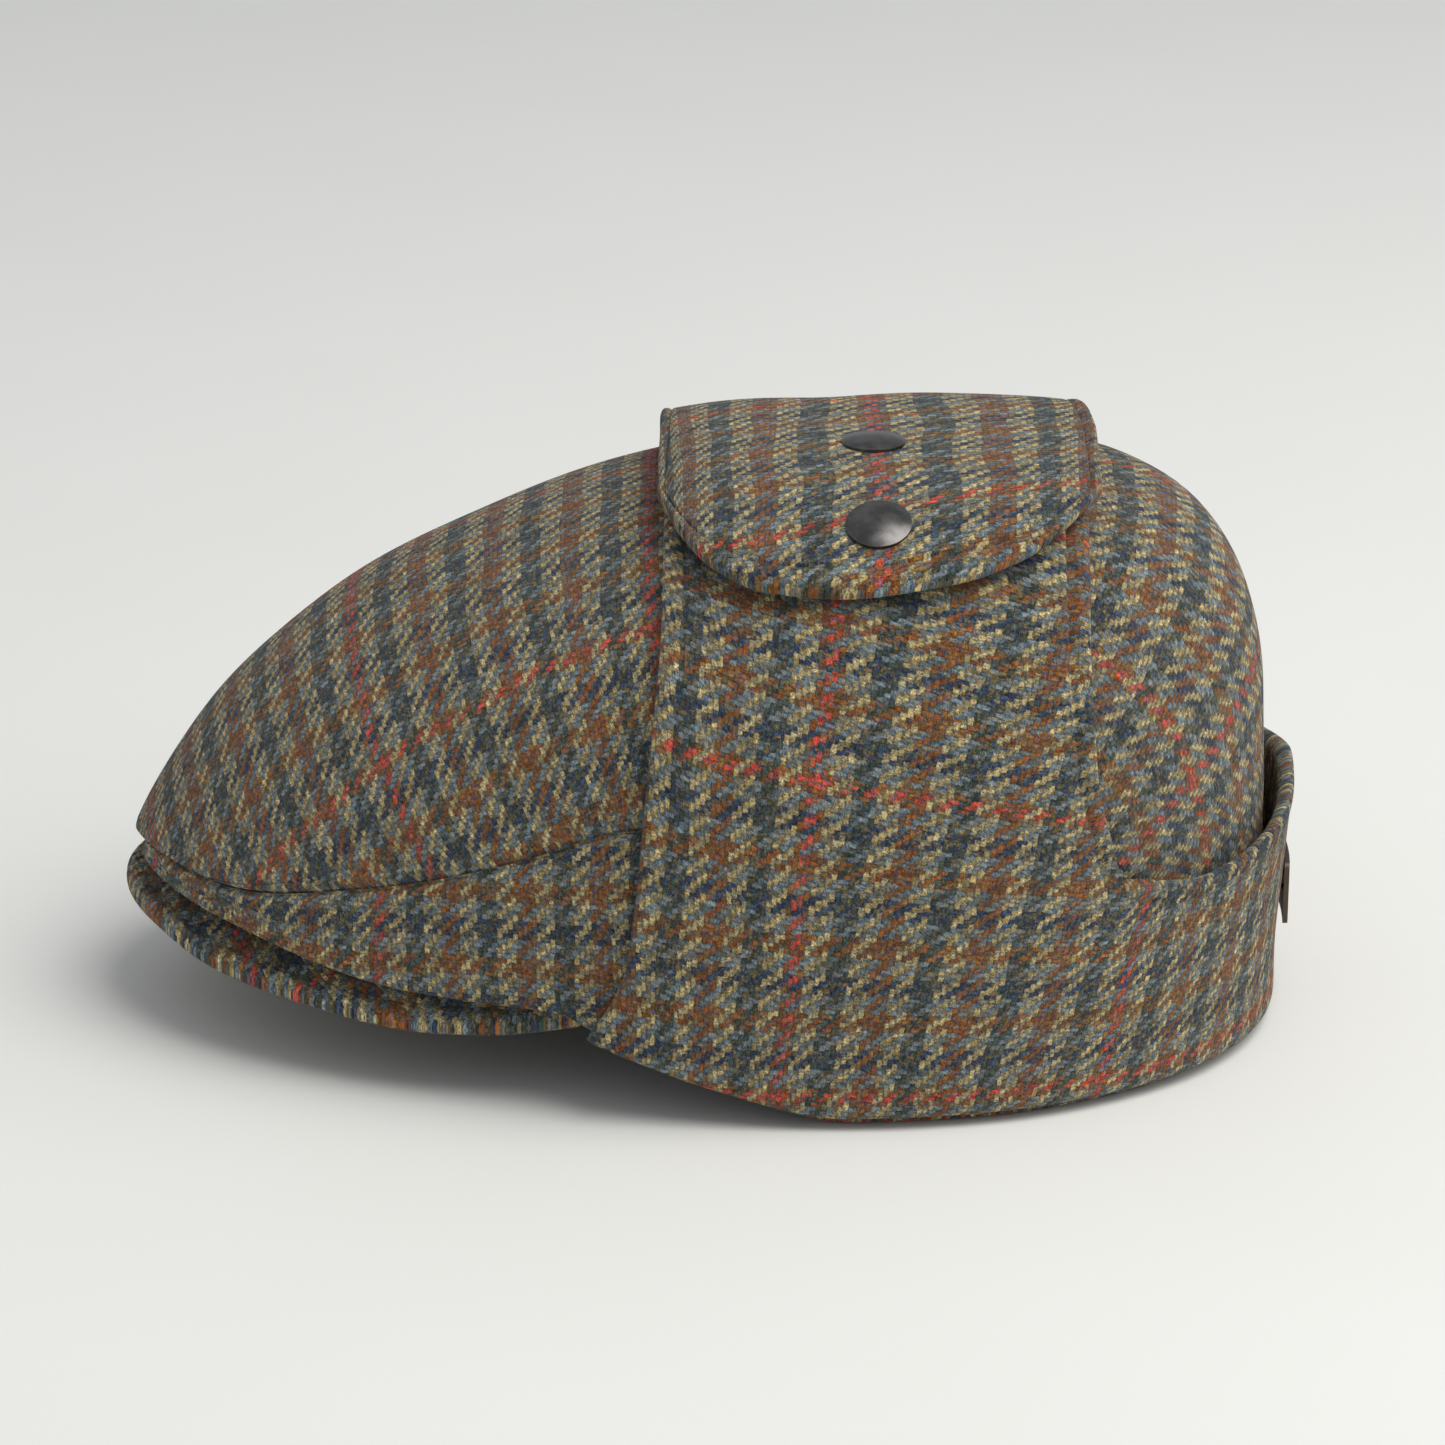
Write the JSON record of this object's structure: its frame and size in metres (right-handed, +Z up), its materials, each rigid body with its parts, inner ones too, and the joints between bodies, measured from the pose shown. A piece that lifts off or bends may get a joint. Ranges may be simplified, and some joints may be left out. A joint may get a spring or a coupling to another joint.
{
  "type": "flat cap with fold-up ear flaps",
  "caption": "Tweed flat cap with a stiff peak, ear flaps that snap together over the crown, and a fold-up neck band with a blank plate.",
  "frame": {"origin": "middle of the cap's length and width, on the surface it stands on", "axes": "-Y to the front of the peak, +X to the wearer's left, +Z up"},
  "size_m": [0.1824, 0.2814, 0.1434],
  "materials": {
    "tweed": "woven wool, matte",
    "wadding": "matte",
    "lining": "satin",
    "sweatband": "ribbed, matte",
    "label": "matte",
    "board": "matte",
    "gunmetal": "satin",
    "bronze": "satin"
  },
  "bodies": {
    "crown": {"top_panel": "tweed", "left_side_panel": "tweed", "right_side_panel": "tweed", "top_lining": "lining", "left_side_lining": "lining", "right_side_lining": "lining", "sweatband": "sweatband", "size_label": "label", "peak_under_cover": "tweed", "peak_board": "board", "peak_top_cover": "tweed"},
    "left_ear": {"left_ear_cloth": "tweed", "left_ear_wadding": "wadding", "left_ear_facing": "tweed"},
    "right_ear": {"right_ear_cloth": "tweed", "right_ear_wadding": "wadding", "right_ear_facing": "tweed"},
    "left_strap": {"left_strap_cloth": "tweed", "left_strap_wadding": "wadding", "left_strap_facing": "tweed", "snap_studs": "gunmetal", "snap_eyelets": "gunmetal"},
    "right_strap": {"right_strap_cloth": "tweed", "right_strap_wadding": "wadding", "right_strap_facing": "tweed", "snap_caps": "gunmetal", "snap_sockets": "gunmetal"},
    "neck_band": {"neck_band_cloth": "tweed", "neck_band_wadding": "wadding", "neck_band_facing": "tweed", "name_plate": "bronze", "plate_backing": "bronze"}
  },
  "joints": [
    {"name": "right_flap_fold", "type": "hinge", "parent": "crown", "child": "right_ear", "pos_m": [-0.0893, 0.02369, 0.0019], "axis": [0, -1, 0], "range_deg": [0, 90]},
    {"name": "right_flap_unroll", "type": "hinge", "parent": "right_ear", "child": "right_strap", "pos_m": [-0.06795, 0.02369, 0.1177], "axis": [0, -1, 0], "range_deg": [0, 90]},
    {"name": "left_flap_fold", "type": "hinge", "parent": "crown", "child": "left_ear", "pos_m": [0.0893, 0.02369, 0.0019], "axis": [0, 1, 0], "range_deg": [0, 94]},
    {"name": "left_flap_unroll", "type": "hinge", "parent": "left_ear", "child": "left_strap", "pos_m": [0.06795, 0.02369, 0.1177], "axis": [0, 1, 0], "range_deg": [0, 82]},
    {"name": "neck_band_fold", "type": "hinge", "parent": "crown", "child": "neck_band", "pos_m": [0, 0.13599, 0.0019], "axis": [-1, 0, 0], "range_deg": [0, 84]}
  ],
  "couplings": [
    {"joint": "right_flap_unroll", "follows": "right_flap_fold", "ratio": 0.95},
    {"joint": "left_flap_fold", "follows": "right_flap_fold", "ratio": 1},
    {"joint": "left_flap_unroll", "follows": "right_flap_fold", "ratio": 0.85},
    {"joint": "neck_band_fold", "follows": "right_flap_fold", "ratio": 0.9}
  ]
}
